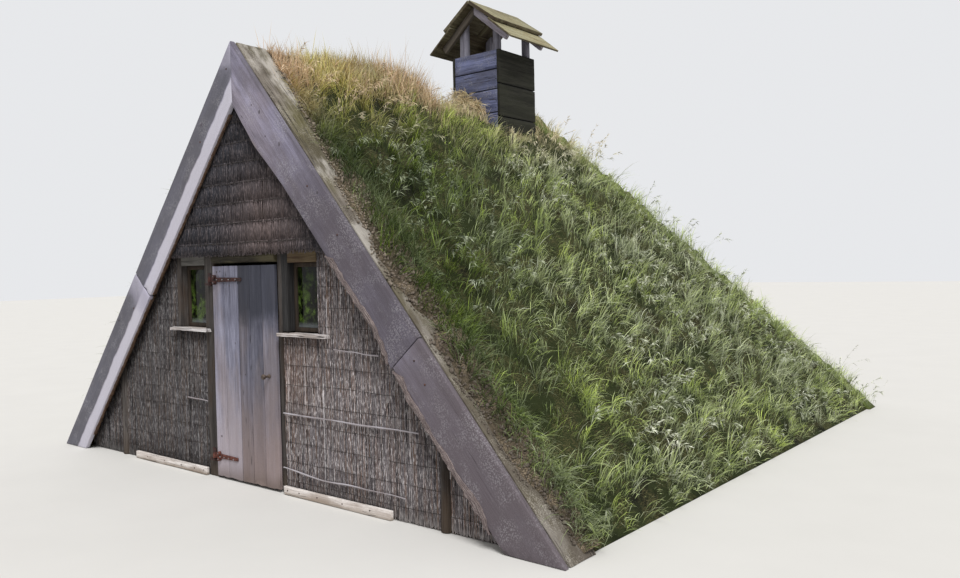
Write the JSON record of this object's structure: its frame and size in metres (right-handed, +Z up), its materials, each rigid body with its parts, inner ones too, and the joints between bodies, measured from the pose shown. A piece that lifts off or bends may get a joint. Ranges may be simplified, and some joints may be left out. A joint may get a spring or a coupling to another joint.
{
  "type": "turf house",
  "caption": "Hipped A-frame house of turf on boards, with a boarded gable walled in reed, a plank door, two small windows and a planked smoke vent on the ridge.",
  "frame": {"origin": "on the ground in the middle of the plan: half way along the ridge line's plan length, under the ridge", "axes": "+X to the right along the gable seen from the front, +Y back into the house, +Z up"},
  "size_m": [6.16, 6.55, 4.54],
  "materials": {
    "front_boards": "bleached grey softwood",
    "top_boards": "weathered softwood with lichen",
    "turf": "grass sods",
    "lining": "sawn boards",
    "frame": "dark rough timber",
    "reed": "weathered reed",
    "window_frame": "weathered timber",
    "pane": "old window glass",
    "sill": "bleached live-edge board",
    "flue": "blue-grey weathered boards",
    "cap": "lichened boards",
    "door": "grey weathered planks",
    "iron": "rusty wrought iron",
    "knob": "dark worn wood"
  },
  "bodies": {
    "root": {"front_board_left_upper": "front_boards", "front_board_left_lower": "front_boards", "front_board_right_upper": "front_boards", "front_board_right_lower": "front_boards", "top_board_left": "top_boards", "top_board_right": "top_boards", "gable_rafter_left": "frame", "gable_rafter_right": "frame", "turf_left": "turf", "turf_right": "turf", "turf_rear": "turf", "lining_left": "lining", "lining_right": "lining", "lining_rear": "lining", "ridge_board": "frame", "rafters": "frame", "rear_rafters": "frame", "upper_reed": "reed", "tie_beam": "frame", "gable_studs": "frame", "door_post_left": "frame", "door_post_right": "frame", "door_lintel": "frame", "window_heads": "frame", "window_posts": "frame", "window_side_board": "frame", "corner_posts": "frame", "reed_wall_left": "reed", "reed_wall_right": "reed", "reed_under_windows": "reed", "window_frames": "window_frame", "window_glass": "pane", "sill_boards": "sill", "foot_boards": "sill", "flue_front": "flue", "flue_back": "flue", "flue_left": "flue", "flue_right": "flue", "cap_posts": "cap", "cap_rafters": "cap", "cap_boards_lower": "cap", "cap_board_upper_left": "cap", "cap_board_upper_right": "cap", "hinge_pintles": "iron"},
    "door": {"door_planks": "door", "door_ledges": "door", "hinge_straps": "iron", "door_knob": "knob"}
  },
  "joints": [
    {"name": "door_hinge", "type": "hinge", "parent": "root", "child": "door", "pos_m": [-0.51, -3.191, 0], "axis": [0, 0, -1], "range_deg": [0, 90]}
  ]
}
